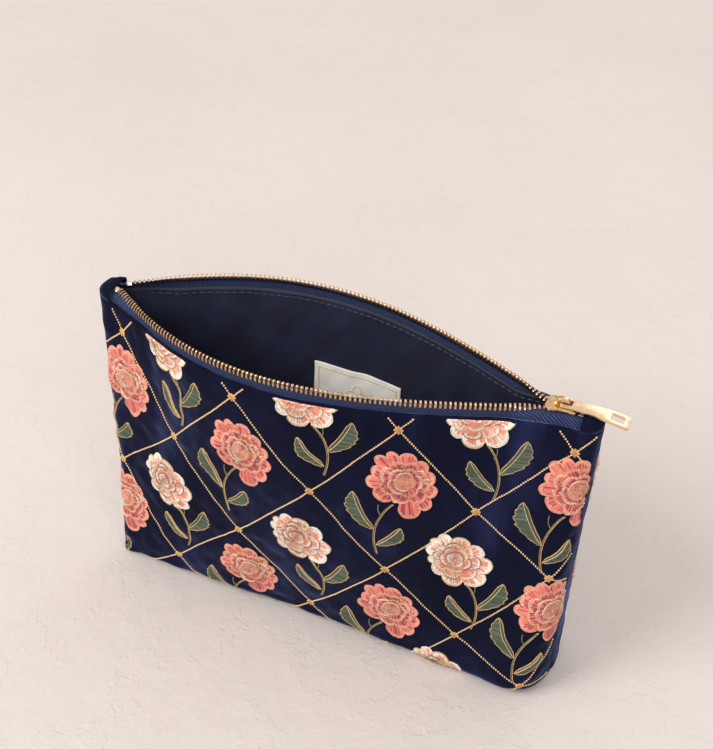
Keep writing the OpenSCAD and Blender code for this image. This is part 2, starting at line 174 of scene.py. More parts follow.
def base_y(side, x, o):
    t = (x - FOOT_LEFT) / (FOOT_RIGHT - FOOT_LEFT)
    reach = (FOOT_RIGHT - FOOT_LEFT) / 2 - o
    off = np.clip(np.abs(x - (FOOT_LEFT + FOOT_RIGHT) / 2) / reach, 0, 1)
    square = np.where(t < 0.5, POWER_LEFT, POWER_RIGHT)
    deep = mix(BASE_LEFT, BASE_RIGHT, np.clip(t, 0, 1) ** BASE_GROWTH) - o - side * base_mid(x)
    return deep * np.sqrt(1 - off**square)


def end_arc(x, o):
    left = arc(x - SEAM_LEFT - o, ROUND_LEFT - 0.6 * o)
    right = arc(SEAM_RIGHT - o - x, ROUND_RIGHT - 0.6 * o)
    return np.where(x < 0, left, right)


def seam_distance(u):
    """How far a point of the wall is from the nearer side seam, in mm."""
    return np.minimum(u, 1 - u) * (SEAM_RIGHT - SEAM_LEFT)


def wall(side, u, w, o):
    """Point of a wall: u along from the left seam, w from the zip down to the base seam, o inwards."""
    u, w = np.broadcast_arrays(np.asarray(u, float), np.asarray(w, float))
    xt = mix(SEAM_LEFT + o, SEAM_RIGHT - o, u)
    xb = mix(FOOT_LEFT + o, FOOT_RIGHT - o, u)
    fall = np.clip(w / TURN_AT, 0, 1)
    x = mix(xt, xb, 1 - (1 - fall) ** 2.2)
    e = end_arc(xt, o)
    full = BELLY * np.sin(np.pi * np.clip(u, 0, 1)) ** 0.6
    yt = (top_y(xt) - o) * e + SLIT
    yb = base_y(side, xb, o) + SLIT
    rc = np.minimum(BASE_ROUND - o, 0.85 * yb)
    turn = np.pi / 2 * np.clip((w - TURN_AT) / (BASE_AT - TURN_AT), 0, 1)
    under = np.clip((w - BASE_AT) / (1 - BASE_AT), 0, 1)
    y_wall = mix(yt, yb, fall) + full * 4 * fall * (1 - fall)
    y_turn = yb - rc * (1 - np.cos(turn))
    y = np.where(w < TURN_AT, y_wall, np.where(w < BASE_AT, y_turn, mix(yb - rc, SLIT, under)))
    z_wall = mix(top_z(xt), o + rc, fall)
    z = np.where(w < TURN_AT, z_wall, o + rc * (1 - np.sin(turn)))
    return np.stack([x, side * y + fall * base_mid(xb), z], -1)


# ---- flat cloth coordinates -------------------------------------------------

# a runs along the cloth from mid width and b down from the zip seam, both in mm
TABLE_U = np.linspace(0, 1, 241)
TABLE_W = np.linspace(0, 1, 201)


def cloth_tables(side):
    p = wall(side, TABLE_U[None, :], TABLE_W[:, None], 0)
    a = np.zeros(p.shape[:2])
    a[:, 1:] = np.cumsum(np.linalg.norm(np.diff(p, axis=1), axis=2), axis=1)
    a -= a[:, 120:121]
    b = np.zeros(p.shape[:2])
    b[1:] = np.cumsum(np.linalg.norm(np.diff(p, axis=0), axis=2), axis=0)
    return a, b


CLOTH = {side: cloth_tables(side) for side in (FRONT, BACK)}


def sample(table, u, w):
    """Bilinear value of a table and its slopes along u and w."""
    fu = np.clip(u, 0, 1) * (len(TABLE_U) - 1)
    fw = np.clip(w, 0, 1) * (len(TABLE_W) - 1)
    iu = np.minimum(fu.astype(int), len(TABLE_U) - 2)
    iw = np.minimum(fw.astype(int), len(TABLE_W) - 2)
    du, dw = fu - iu, fw - iw
    v00, v01 = table[iw, iu], table[iw, iu + 1]
    v10, v11 = table[iw + 1, iu], table[iw + 1, iu + 1]
    low, high = mix(v00, v01, du), mix(v10, v11, du)
    slope_u = mix(v01 - v00, v11 - v10, dw) * (len(TABLE_U) - 1)
    slope_w = (high - low) * (len(TABLE_W) - 1)
    return mix(low, high, dw), slope_u, slope_w


def cloth_at(side, u, w):
    """Point of the flat cloth at wall coordinates u and w."""
    return [sample(table, u, w)[0] for table in CLOTH[side]]


def cloth_place(side, a, b):
    """Wall coordinates of a point of the flat cloth, and whether it lies on the panel."""
    width, length, damping, least_slope, near = 245, 160, 0.8, 20, 0.6
    table_a, table_b = CLOTH[side]
    u = np.clip(0.5 + a / width, 0.01, 0.99)
    w = np.clip(b / length, 0.002, 0.998)
    for _ in range(14):
        va, sa, _ = sample(table_a, u, w)
        vb, _, sb = sample(table_b, u, w)
        u = np.clip(u - damping * (va - a) / np.maximum(sa, least_slope), 0, 1)
        w = np.clip(w - damping * (vb - b) / np.maximum(sb, least_slope), 0, 1)
    va, vb = cloth_at(side, u, w)
    return u, w, (np.abs(va - a) < near) & (np.abs(vb - b) < near)


# ---- trellis of the embroidery ----------------------------------------------

COLUMN, ROW, MEAN_ROW = 35.8, 45.5, 40.0
CORNER_A, CORNER_B = -103.9, 7.6
COLUMN_TILT, ROW_TILT = -0.1, -2.64
ROW_CLOSE, BOW_TOP, BOW_LOW = -0.94, 0.37, -0.8
MID_COLUMN = 3


def trellis_point(c, r):
    bow = (c - MID_COLUMN) ** 2 * (BOW_TOP + BOW_LOW * max(r, 0))
    a = CORNER_A + COLUMN * c + ROW_TILT * r
    return np.array([a, CORNER_B + COLUMN_TILT * c + (ROW + ROW_CLOSE * c) * r + bow])


def trellis_cell(a, b):
    """Column and row of a point of the cloth, as fractions."""
    c, r = (a - CORNER_A) / COLUMN, b / MEAN_ROW
    for _ in range(6):
        c = np.clip((a - CORNER_A - ROW_TILT * r) / COLUMN, -1, 8)
        square = (c - MID_COLUMN) ** 2
        height = ROW + ROW_CLOSE * c + BOW_LOW * square
        r = (b - CORNER_B - COLUMN_TILT * c - BOW_TOP * square) / height
    return c, r


LINE_GAP = 2 * COLUMN * MEAN_ROW / math.hypot(COLUMN, MEAN_ROW)


def line_distance(a, b):
    c, r = trellis_cell(a, b)
    p, q = (c + r) / 2, (c - r) / 2
    off = np.minimum(np.abs(p - np.round(p)), np.abs(q - np.round(q)))
    return off * LINE_GAP


def waves(a, b, seed, count, shortest, longest):
    """Smooth seeded ripples of the cloth, about -1 to 1."""
    rng = random.Random(seed)
    total = np.zeros(np.broadcast(a, b).shape)
    for _ in range(count):
        length = rng.uniform(shortest, longest)
        way = rng.uniform(0, math.pi)
        phase = rng.uniform(0, 2 * math.pi)
        along = a * math.cos(way) + b * math.sin(way)
        total = total + np.sin(2 * np.pi / length * along + phase)
    return total / math.sqrt(count)


def relief(side, u, w):
    """How far the velvet stands out of the plain wall, in mm."""
    a, b = cloth_at(side, u, w)
    far = line_distance(a, b)
    quilt = 0.75 * (1 - np.exp(-((far / 10) ** 2))) - 0.3 * np.exp(-((far / 1.8) ** 2))
    seed = 5 + side
    limp = 1 + 0.7 * np.clip((-30 - a) / 50, 0, 1)
    between = 1 - 0.65 * np.exp(-((far / 4) ** 2))
    folds = 0.48 * waves(a, b, seed, 9, 34, 90)
    creases = 0.3 * limp * between * waves(a, b, seed + 10, 10, 9, 22)
    zip_pucker = 0.22 * np.exp(-b / 6) * np.sin(2 * np.pi * a / 8.5 + 0.7 * np.sin(a / 17))
    edge = seam_distance(u)
    side_pucker = 0.4 * np.exp(-edge / 9) * np.sin(2 * np.pi * b / 12 + 0.8 * np.sin(b / 23))
    hold = np.clip(b / 4, 0, 1) * np.clip(edge / 5, 0, 1) ** 0.5 * np.clip((0.84 - w) / 0.12, 0, 1)
    return (quilt + folds + creases + zip_pucker + side_pucker) * hold


def skin(side, u, w, lift=0.0):
    """Point on the finished velvet, lifted off it along its normal."""
    du, dw = 0.002, 0.003
    u0, u1 = np.clip(u - du, 0, 1), np.clip(u + du, 0, 1)
    w0, w1 = np.clip(w - dw, 0, 1), np.clip(w + dw, 0, 1)
    across = wall(side, u1, w, 0) - wall(side, u0, w, 0)
    down = wall(side, u, w1, 0) - wall(side, u, w0, 0)
    n = unit(np.cross(across, down)) * side
    p = wall(side, u, w, 0) + n * (relief(side, u, w) + lift)[..., None]
    p[..., 2] += UNDER_CLEAR * np.clip((w - TURN_AT) / (BASE_AT - TURN_AT), 0, 1)
    return p, n


# ---- meshes -----------------------------------------------------------------


def add_object(name, mesh):
    obj = bpy.data.objects.new(name, mesh)
    bpy.context.scene.collection.objects.link(obj)
    return obj


def build(name, verts, faces):
    """Object from points in millimetres."""
    mesh = bpy.data.meshes.new(name)
    mesh.from_pydata((np.asarray(verts) * MM).tolist(), [], faces)
    mesh.validate()
    mesh.shade_smooth()
    return add_object(name, mesh)


def set_uv(obj, uv):
    """Cloth coordinates, one pair for each vertex, in metres."""
    mesh = obj.data
    layer = mesh.uv_layers.new(name="cloth")
    at = np.empty(len(mesh.loops), dtype=np.int32)
    mesh.loops.foreach_get("vertex_index", at)
    layer.data.foreach_set("uv", (np.asarray(uv) * MM)[at].ravel().astype(np.float32))


def grid_faces(rows, cols, start, flip):
    out = []
    for r in range(rows - 1):
        for c in range(cols - 1):
            k = start + r * cols + c
            quad = (k, k + cols, k + cols + 1, k + 1)
            out.append(quad[::-1] if flip else quad)
    return out


def rim_faces(rows, cols, flip):
    """Closes the border between an outer grid and the inner grid that follows it."""
    n = rows * cols
    loop = list(range(cols))
    loop += [r * cols + cols - 1 for r in range(1, rows)]
    loop += [(rows - 1) * cols + c for c in range(cols - 2, -1, -1)]
    loop += [r * cols for r in range(rows - 2, 0, -1)]
    out = []
    for k, a in enumerate(loop):
        b = loop[(k + 1) % len(loop)]
        quad = (a, b, b + n, a + n)
        out.append(quad[::-1] if flip else quad)
    return out


def shell(name, outer, inner, uv, flip):
    """Closed sheet of cloth from an outer and an inner grid of points."""
    rows, cols = outer.shape[:2]
    verts = np.concatenate([outer.reshape(-1, 3), inner.reshape(-1, 3)])
    faces = grid_faces(rows, cols, 0, flip)
    faces += grid_faces(rows, cols, rows * cols, not flip)
    faces += rim_faces(rows, cols, flip)
    obj = build(name, verts, faces)
    flat_uv = np.asarray(uv).reshape(-1, 2)
    set_uv(obj, np.concatenate([flat_uv, flat_uv]))
    return obj


def spread(n):
    return (1 - np.cos(np.pi * np.arange(n + 1) / n)) / 2


def rows_down(wall_rows, turn_rows, base_rows):
    on_wall = np.linspace(0, TURN_AT, wall_rows, endpoint=False)
    on_turn = np.linspace(TURN_AT, BASE_AT, turn_rows, endpoint=False)
    return np.concatenate([on_wall, on_turn, np.linspace(BASE_AT, 1, base_rows)])


# ---- materials --------------------------------------------------------------


class Shader:
    """Small helper for writing node materials."""

    def __init__(self, name):
        self.material = bpy.data.materials.new(name)
        self.material.use_nodes = True
        self.nodes = self.material.node_tree.nodes
        self.links = self.material.node_tree.links
        self.surface = self.nodes["Principled BSDF"]

    def add(self, kind, **values):
        node = self.nodes.new(kind)
        for key, value in values.items():
            if hasattr(node, key):
                setattr(node, key, value)
            else:
                node.inputs[key.replace("_", " ")].default_value = value
        return node

    def link(self, source, target):
        self.links.new(source, target)

    def set(self, **values):
        for key, value in values.items():
            self.surface.inputs[key.replace("_", " ")].default_value = value

    def cloth(self, scale=(1, 1, 1), turn=0.0):
        uv = self.add("ShaderNodeUVMap", uv_map="cloth")
        place = self.add("ShaderNodeMapping")
        place.inputs["Scale"].default_value = scale
        place.inputs["Rotation"].default_value = (0, 0, turn)
        self.link(uv.outputs["UV"], place.inputs["Vector"])
        return place.outputs["Vector"]

    def space(self):
        return self.add("ShaderNodeTexCoord").outputs["Object"]

    def noise(self, vector, scale, detail=3.0, roughness=0.5):
        node = self.add("ShaderNodeTexNoise", Scale=scale, Detail=detail, Roughness=roughness)
        self.link(vector, node.inputs["Vector"])
        return node.outputs["Fac"]

    def wave(self, vector, scale, distortion=0.0, direction="X"):
        node = self.add("ShaderNodeTexWave", bands_direction=direction, Scale=scale, Distortion=distortion)
        self.link(vector, node.inputs["Vector"])
        return node.outputs["Fac"]

    def ramp(self, value, stops):
        node = self.add("ShaderNodeValToRGB")
        elements = node.color_ramp.elements
        while len(elements) < len(stops):
            elements.new(0.5)
        for element, (position, color) in zip(elements, stops):
            element.position = position
            element.color = (*color, 1)
        self.link(value, node.inputs["Fac"])
        return node.outputs["Color"]

    def math(self, operation, a, b):
        node = self.add("ShaderNodeMath", operation=operation)
        for k, value in enumerate((a, b)):
            if isinstance(value, (int, float)):
                node.inputs[k].default_value = value
            else:
                self.link(value, node.inputs[k])
        return node.outputs["Value"]

    def weigh(self, a, b, share):
        """Sum of two values: the share given of a, and the rest of b."""
        return self.math("ADD", self.math("MULTIPLY", a, share), self.math("MULTIPLY", b, 1 - share))

    def blend(self, factor, a, b, mode="MIX"):
        node = self.add("ShaderNodeMix", data_type="RGBA", blend_type=mode)
        for socket, value in (("Factor", factor), ("A", a), ("B", b)):
            target = next(s for s in node.inputs if s.name == socket and s.enabled)
            if isinstance(value, tuple):
                target.default_value = (*value, 1)
            else:
                self.link(value, target)
        return next(s for s in node.outputs if s.enabled)

    def bump(self, height, strength, distance, before=None):
        node = self.add("ShaderNodeBump", Strength=strength, Distance=distance)
        self.link(height, node.inputs["Height"])
        if before is not None:
            self.link(before, node.inputs["Normal"])
        return node.outputs["Normal"]

    def finish(self, color=None, rough=None, normal=None):
        for value, socket in ((color, "Base Color"), (rough, "Roughness"), (normal, "Normal")):
            if value is not None:
                self.link(value, self.surface.inputs[socket])
        return self.material


def velvet_material():
    s = Shader("velvet")
    strokes = s.noise(s.cloth((30, 10, 1), 0.5), 1.0, 5.0, 0.65)
    cloudy = s.noise(s.cloth(), 15.0, 3.0, 0.55)
    grain = s.noise(s.cloth(), 650.0, 2.0, 0.7)
    pile_glints = s.noise(s.cloth(), 1700.0, 2.0, 0.6)
    # Painted sheen: the colour ramp darkens and lightens the brushed-pile streaks, its lit stop standing for
    # sheen caught on the pile; the streaks are partly real pile marks.
    tone = s.weigh(strokes, cloudy, 0.55)
    deep, navy, lit = (0.0016, 0.0019, 0.008), (0.0034, 0.0044, 0.019), (0.017, 0.023, 0.078)
    color = s.ramp(tone, [(0.38, deep), (0.52, navy), (0.66, lit)])
    # Painted glints: the pile noise lightens fine specks and the grain noise darkens others, a speckle that
    # stands for light glinting on the pile tips.
    color = s.blend(s.math("MULTIPLY", pile_glints, 0.28), color, (0.014, 0.018, 0.062))
    color = s.blend(s.math("MULTIPLY", grain, 0.6), color, (0.25, 0.25, 0.35), "MULTIPLY")
    brushed = s.ramp(tone, [(0.42, (0.08, 0.08, 0.08)), (0.60, (0.85, 0.85, 0.85))])
    s.link(brushed, s.surface.inputs["Sheen Weight"])
    s.set(Roughness=0.95, Specular_IOR_Level=0.1)
    s.set(Sheen_Roughness=0.32, Sheen_Tint=(0.27, 0.33, 0.74, 1))
    coarse = s.bump(strokes, 0.8, 0.0014)
    return s.finish(color=color, normal=s.bump(grain, 0.45, 0.0003, coarse))


def lining_material():
    s = Shader("lining")
    warp = s.wave(s.cloth(), 2300.0, 0.4, "X")
    weft = s.wave(s.cloth(), 2300.0, 0.4, "Y")
    weave = s.math("MULTIPLY", warp, weft)
    shade = s.noise(s.cloth(), 60.0, 3.0)
    color = s.ramp(shade, [(0.3, (0.0035, 0.005, 0.018)), (0.7, (0.008, 0.0115, 0.040))])
    s.set(Roughness=0.58, Sheen_Weight=0.05)
    return s.finish(color=color, normal=s.bump(weave, 0.3, 0.00015))


def tape_material():
    s = Shader("zip_tape")
    twill = s.wave(s.cloth((1, 1, 1), 0.95), 280.0, 0.5, "X")
    thread = s.wave(s.cloth(), 1900.0, 0.6, "X")
    fuzz = s.noise(s.cloth(), 900.0, 3.0)
    height = s.weigh(twill, thread, 0.7)
    # Painted shade and highlight: the colour follows the twill height, darker in the grooves and lighter on
    # the ribs; the fuzz adds real random tone.
    tone = s.weigh(height, fuzz, 0.8)
    deep, navy, lit = (0.001, 0.002, 0.012), (0.008, 0.018, 0.080), (0.045, 0.085, 0.28)
    color = s.ramp(tone, [(0.25, deep), (0.5, navy), (0.75, lit)])
    s.set(Roughness=0.75, Sheen_Weight=0.03)
    return s.finish(color=color, normal=s.bump(height, 0.9, 0.0004))


def label_material():
    s = Shader("woven_label")
    warp = s.wave(s.cloth(), 1400.0, 0.3, "X")
    weft = s.wave(s.cloth(), 1000.0, 0.3, "Y")
    weave = s.weigh(warp, weft, 0.5)
    color = s.ramp(weave, [(0.1, (0.86, 0.82, 0.74)), (0.9, (0.97, 0.95, 0.90))])
    s.set(Roughness=0.7, Sheen_Weight=0.2)
    return s.finish(color=color, normal=s.bump(weave, 0.5, 0.0002))


def metal_material(name, dark, light, roughness, wear):
    s = Shader(name)
    cloudy = s.noise(s.space(), 420.0, 4.0, 0.6)
    scratch = s.noise(s.space(), 2600.0, 2.0, 0.7)
    color = s.ramp(cloudy, [(0.3, dark), (0.7, light)])
    s.set(Metallic=1.0)
    rough = s.math("ADD", s.math("MULTIPLY", scratch, wear), roughness)
    return s.finish(color=color, rough=rough, normal=s.bump(scratch, 0.08, 0.00005))


def yarn_material(name, low=None, high=None, gloss=0.42, metallic=0.0):
    """Embroidery yarn: its colour comes from the stitch, or from the two colours given."""
    s = Shader(name)
    twist = s.noise(s.space(), 3800.0, 2.0, 0.6)
    if low is None:
        base = s.add("ShaderNodeAttribute", attribute_name="yarn").outputs["Color"]
        color = s.blend(s.math("MULTIPLY", twist, 0.4), base, (0.45, 0.4, 0.4), "MULTIPLY")
    else:
        color = s.ramp(twist, [(0.3, low), (0.7, high)])
    s.set(Roughness=gloss, Metallic=metallic, Sheen_Weight=0.15)
    return s.finish(color=color, normal=s.bump(twist, 0.35, 0.0001))


def dress(obj, material, body="pouch"):
    obj.data.materials.clear()
    obj.data.materials.append(material)
    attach(obj, body)


def flatten(obj):
    """Gives the piece its own copy of its mesh."""
    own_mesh(obj)


VELVET = velvet_material()
LINING = lining_material()
TAPE = tape_material()
LABEL = label_material()
TEETH_METAL = metal_material("teeth_brass", (0.42, 0.24, 0.115), (0.80, 0.53, 0.31), 0.2, 0.14)
STOP_METAL = metal_material("stop_brass", (0.74, 0.55, 0.33), (0.95, 0.80, 0.58), 0.2, 0.12)
SLIDER_METAL = metal_material("slider_gold", (0.60, 0.38, 0.19), (0.84, 0.60, 0.36), 0.16, 0.12)
PULL_METAL = metal_material("pull_gold", (0.70, 0.48, 0.29), (0.84, 0.63, 0.42), 0.2, 0.12)
LINING_THREAD = yarn_material("lining_thread", (0.02, 0.024, 0.06), (0.05, 0.06, 0.13))
GOLD_YARN = yarn_material("gold_yarn", (0.60, 0.34, 0.13), (1.0, 0.74, 0.43), 0.34, 0.2)
FLOWER_YARN = yarn_material("flower_yarn", gloss=0.5)


# ---- cloth pieces -----------------------------------------------------------


def velvet_panel(side, word):
    uu, ww = np.meshgrid(spread(210), rows_down(118, 16, 12))
    outer, _ = skin(side, uu, ww)
    inner = wall(side, uu, ww, VELVET_T)
    mouth = outer[0] * 0.5 + inner[0] * 0.5
    lip = np.array([0, 0, 0.35])
    outer[0] = outer[0] * 0.75 + mouth * 0.25 + lip
    inner[0] = inner[0] * 0.75 + mouth * 0.25 + lip
    obj = shell("velvet_" + word, outer, inner, np.stack(cloth_at(side, uu, ww), -1), side > 0)
    dress(obj, VELVET)
    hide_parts(word + "_panel", word + "_interlining")
    flatten(obj)


def lining_push(side, u, w):
    """How far the loose lining hangs inwards, in mm."""
    a, b = cloth_at(side, u, w)
    hanging = 0.62 * waves(a, b * 0.1, 31 + side, 8, 16, 46)
    folds = 1.0 + hanging + 0.16 * waves(a, b, 41 + side, 8, 9, 22)
    edge = np.clip(np.minimum(u, 1 - u) / 0.05, 0, 1)
    return np.maximum(folds, 0) * np.clip(b / 12, 0, 1) * np.clip((0.7 - w) / 0.15, 0, 1) * edge


def lining_skin(side, u, w, lift):
    p = wall(side, u, w, INSIDE_O + lift)
    p[..., 1] -= side * lining_push(side, u, w)
    return p


def lining_panel(side, word):
    uu, ww = np.meshgrid(spread(170), rows_down(84, 12, 10))
    inner = lining_skin(side, uu, ww, 0)
    outer = wall(side, uu, ww, LINING_O)
    outer[..., 1] -= side * 0.7 * lining_push(side, uu, ww)
    obj = shell("lining_" + word, outer, inner, np.stack(cloth_at(side, uu, ww), -1), side > 0)
    dress(obj, LINING)
    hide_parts(word + "_lining")
    flatten(obj)


def tape_piece(side, word):
    """Zip tape: a round corded edge, the web and the tail caught between velvet and lining."""
    i = np.linspace(-3, OPEN_TEETH + 9, 340)
    c = cord(side, i)
    _, mate, through = cord_axes(side, i)
    out = through * -side
    half = out * TAPE_T / 2
    near, edge = c - mate * WEB, c - mate * 0.62
    ring, across = [], []

    def on_wall(w, o):
        u = (c[:, 0] - SEAM_LEFT - o) / (SEAM_RIGHT - SEAM_LEFT - 2 * o)
        return wall(side, u, w, o)

    def stretch(p, q, s0, s1, n):
        for k in range(n):
            ring.append(mix(p, q, k / n))
            across.append(mix(s0, s1, k / n))

    top_out, top_in = on_wall(0, TAPE_O), on_wall(0, TAPE_O + TAPE_T)
    low_out, low_in = on_wall(TUCK, TAPE_O), on_wall(TUCK, TAPE_O + TAPE_T)
    stretch(low_out, top_out, 12, 7, 3)
    stretch(top_out, near + half, 7, 3, 6)
    stretch(near + half, edge + half, 3, 0.6, 4)
    for angle in np.linspace(150, -150, 11):
        turn = math.radians(angle)
        ring.append(c + CORD_R * (math.cos(turn) * mate + math.sin(turn) * out))
        across.append(-angle / 300)
    stretch(edge - half, near - half, 0.6, 3, 4)
    stretch(near - half, top_in, 3, 7, 6)
    stretch(top_in, low_in, 7, 12, 3)
    ring.append(low_in)
    across.append(12)
    verts = np.stack(ring, 1)
    m, n = verts.shape[:2]
    faces = []
    for k in range(m - 1):
        for j in range(n):
            quad = (k * n + j, k * n + (j + 1) % n, (k + 1) * n + (j + 1) % n, (k + 1) * n + j)
            faces.append(quad if side < 0 else quad[::-1])
    faces.append(tuple(range(n))[:: 1 if side > 0 else -1])
    faces.append(tuple(range((m - 1) * n, m * n))[:: -1 if side > 0 else 1])
    obj = build("tape_" + word, verts.reshape(-1, 3), faces)
    length = i * TOOTH_PITCH
    uv = np.stack(np.broadcast_arrays(length[:, None], np.array(across)[None, :]), -1)
    set_uv(obj, uv.reshape(-1, 2))
    dress(obj, TAPE)
    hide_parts(word + "_tape")
    flatten(obj)


def end_tab(name, node, x_in, x_out):
    """Velvet saddle folded over one end of the zip."""
    u = np.sin(np.pi / 2 * np.linspace(0, 1, 24))
    v = np.linspace(0, 1, 56)
    uu, vv = np.meshgrid(u, v)

    def saddle(o, puff):
        x = mix(x_in, x_out - o * np.sign(x_out), uu)
        e = end_arc(x, o)
        drop = arc(abs(x_out) - o - np.abs(x), ROUND_RIGHT - 0.6 * o)
        low = top_z(x) + 0.3
        high = ZIP_HEIGHT + TAB_RISE - o
        yy = (top_y(x) - o) * e + 0.02
        arch = np.sin(np.pi * np.clip(vv, 0, 1)) ** 0.4
        ripple = puff * 0.32 * waves(x * 2, vv * 30, 71, 8, 5, 14) * arch * np.sin(np.pi * uu)
        z = low + (high - low) * drop * arch + ripple
        return np.stack([x, -yy * np.cos(np.pi * vv), z], -1)

    outer, inner = saddle(0.0, 1.0), saddle(TAB_T, 0.0)
    uv = np.stack([uu * 10 + 300, vv * 24], -1)
    obj = shell(name, outer, inner, uv, x_out < 0)
    dress(obj, VELVET)
    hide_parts(node)
    flatten(obj)


def label_point(s, t, lift):
    """Point of the label, s along and t down, both 0 to 1."""
    u, w = mix(*LABEL_U, s), mix(*LABEL_W, t)
    p = lining_skin(BACK, u, w, 0.45)
    p[..., 1] -= 0.5 * np.sin(np.pi * s) * np.sin(np.pi * t / 2) + lift
    return p


def label_piece():
    ss, tt = np.meshgrid(np.linspace(0, 1, 60), np.linspace(0, 1, 36))
    uv = np.stack([ss * LABEL_W_MM, tt * LABEL_H_MM], -1)
    obj = shell("label_cloth", label_point(ss, tt, 0.0), label_point(ss, tt, 0.35), uv, True)
    dress(obj, LABEL)
    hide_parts("woven_label")
    flatten(obj)


def label_border():
    """Woven frame and a small four-lobed motif, where a maker would put a name."""
    wide, high, lift = 60, 34, 0.42
    run_s, run_t = np.linspace(0.05, 0.95, wide), np.linspace(0.1, 0.9, high)
    turn = np.linspace(0, 2 * np.pi, 90)
    lobes = 0.5 + 0.5 * np.abs(np.cos(2 * turn))
    frame_s = [run_s, np.full(high, 0.95), run_s[::-1], np.full(high, 0.05)]
    frame_t = [np.full(wide, 0.1), run_t, np.full(wide, 0.9), run_t[::-1]]
    s = np.concatenate(frame_s + [0.5 + 0.12 * lobes * np.cos(turn)])
    t = np.concatenate(frame_t + [0.5 + 0.22 * lobes * np.sin(turn)])
    p = label_point(s, t, lift)
    along = unit(label_point(s + 0.002, t, lift) - p)
    axes = axes_from(along, unit(np.cross([0.0, 0.0, 1.0], along)))
    obj = build("label_frame", *many(bead_shape(6, 4), p, axes, [(0.42, 0.16, 0.3)] * len(s)))
    dress(obj, GOLD_YARN)
    flatten(obj)


def axes_from(along, across):
    return np.stack([along, across, np.cross(along, across)], 1)


def bead_shape(sides, rings):
    """Unit ellipsoid: its long axis is x."""
    verts = [(1, 0, 0)]
    for k in range(1, rings):
        turn = math.pi * k / rings
        for j in range(sides):
            around, r = 2 * math.pi * j / sides, math.sin(turn)
            verts.append((math.cos(turn), r * math.cos(around), r * math.sin(around)))
    verts.append((-1, 0, 0))
    faces = []
    last = len(verts) - 1
    for j in range(sides):
        n = (j + 1) % sides
        faces.append((0, 1 + j, 1 + n))
        faces.append((last, last - sides + n, last - sides + j))
        for k in range(rings - 2):
            row = 1 + k * sides
            faces.append((row + j, row + sides + j, row + sides + n, row + n))
    return np.array(verts), faces


def many(shape, centres, axes, sizes):
    """Copies of one shape: centres, three axes and three sizes for each."""
    verts, faces = shape
    out_v, out_f = [], []
    for k, (c, ax, size) in enumerate(zip(centres, axes, sizes)):
        local = verts * size
        out_v.append(local @ np.asarray(ax) + c)
        base = k * len(verts)
        out_f.extend([tuple(base + i for i in f) for f in faces])
    return np.concatenate(out_v), out_f


def lining_stitches(side, word):
    """Running stitch that holds the lining to the tape."""
    step, length = 3.4, 2.7
    width = SEAM_RIGHT - SEAM_LEFT
    count = int((width - 2 * STITCH_INSET) / step)
    u = (STITCH_INSET + step * np.arange(count + 1)) / width
    w = np.full(u.shape, STITCH_ROW)
    p = lining_skin(side, u, w, 0.1)
    along = unit(lining_skin(side, u + 0.004, w, 0) - lining_skin(side, u - 0.004, w, 0))
    down = unit(lining_skin(side, u, w + 0.01, 0) - lining_skin(side, u, w, 0))
    sizes = [(length / 2, 0.24, 0.2)] * len(u)
    obj = build("stitches_" + word, *many(bead_shape(8, 8), p, axes_from(along, down), sizes))
    dress(obj, LINING_THREAD)
    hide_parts(word + "_stitching")
    flatten(obj)


# ---- zip metal --------------------------------------------------------------


def tooth_shape():
    """One U-shaped tooth with rounded edges: x to the mating side, y through the tape, z along it."""
    h, slot, r = TOOTH_T / 2, CORD_R + 0.06, 0.75
    turns = np.linspace(1.35, -1.35, 7)
    head = [(TOOTH_HEAD - r + r * math.cos(t), 0.96 * r * math.sin(t)) for t in turns]
    outline = [(-TOOTH_LEG, h * 0.8), (-0.5, h), (0.9, h)] + head
    outline += [(0.9, -h), (-0.5, -h), (-TOOTH_LEG, -h * 0.8)]
    outline += [(-TOOTH_LEG, -0.32), (-0.45, -slot), (0.4, -slot), (slot, -0.3)]
    outline += [(slot, 0.3), (0.4, slot), (-0.45, slot), (-TOOTH_LEG, 0.32)]
    bm = bmesh.new()
    ring = [bm.verts.new((x, y, -TOOTH_LEN / 2)) for x, y in outline]
    face = bm.faces.new(ring)
    moved = bmesh.ops.extrude_face_region(bm, geom=[face])["geom"]
    end = [v for v in moved if isinstance(v, bmesh.types.BMVert)]
    bmesh.ops.translate(bm, vec=(0, 0, TOOTH_LEN), verts=end)
    bmesh.ops.recalc_face_normals(bm, faces=bm.faces)
    rims = [e for e in bm.edges if abs(e.verts[0].co.z - e.verts[1].co.z) < 1e-6]
    bmesh.ops.bevel(bm, geom=rims, offset=0.13, segments=2, affect="EDGES", profile=0.6)
    bmesh.ops.triangulate(bm, faces=[f for f in bm.faces if len(f.verts) > 4])
    bm.verts.index_update()
    verts = np.array([v.co[:] for v in bm.verts])
    faces = [tuple(v.index for v in f.verts) for f in bm.faces]
    bm.free()
    return verts, faces


def on_cord(side, indices):
    along, mate, through = cord_axes(side, indices)
    return cord(side, indices), np.stack([mate, through, along], 1)


def zip_groups(indices):
    """Runs of teeth short enough to shut without a visible step."""
    widest, longest = 1.2, 8
    groups, current = [], [indices[0]]
    for i in indices[1:]:
        change = abs(half_gap(np.float64(i)) - half_gap(np.float64(current[0])))
        if change > widest or len(current) >= longest:
            groups.append(current)
            current = []
        current.append(i)
    groups.append(current)
    return groups


def shut(obj):
    """Gives a run of teeth its own copy of its mesh."""
    flatten(obj)


def tooth_chain(side, word, first, last):
    shape = tooth_shape()
    indices = list(np.arange(first, last + 0.1))
    open_run = [i for i in indices if i <= OPEN_TEETH]
    tail = [i for i in indices if i > OPEN_TEETH]
    for k, group in enumerate(zip_groups(open_run) + [tail]):
        centres, axes = on_cord(side, np.array(group))
        sizes = [(1, 1, 1)] * len(group)
        obj = build(f"teeth_{word}_{k:02d}", *many(shape, centres, axes, sizes))
        obj.data.set_sharp_from_angle(angle=math.radians(42))
        dress(obj, TEETH_METAL)
        if group is not tail:
            shut(obj)
    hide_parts(word + "_teeth")


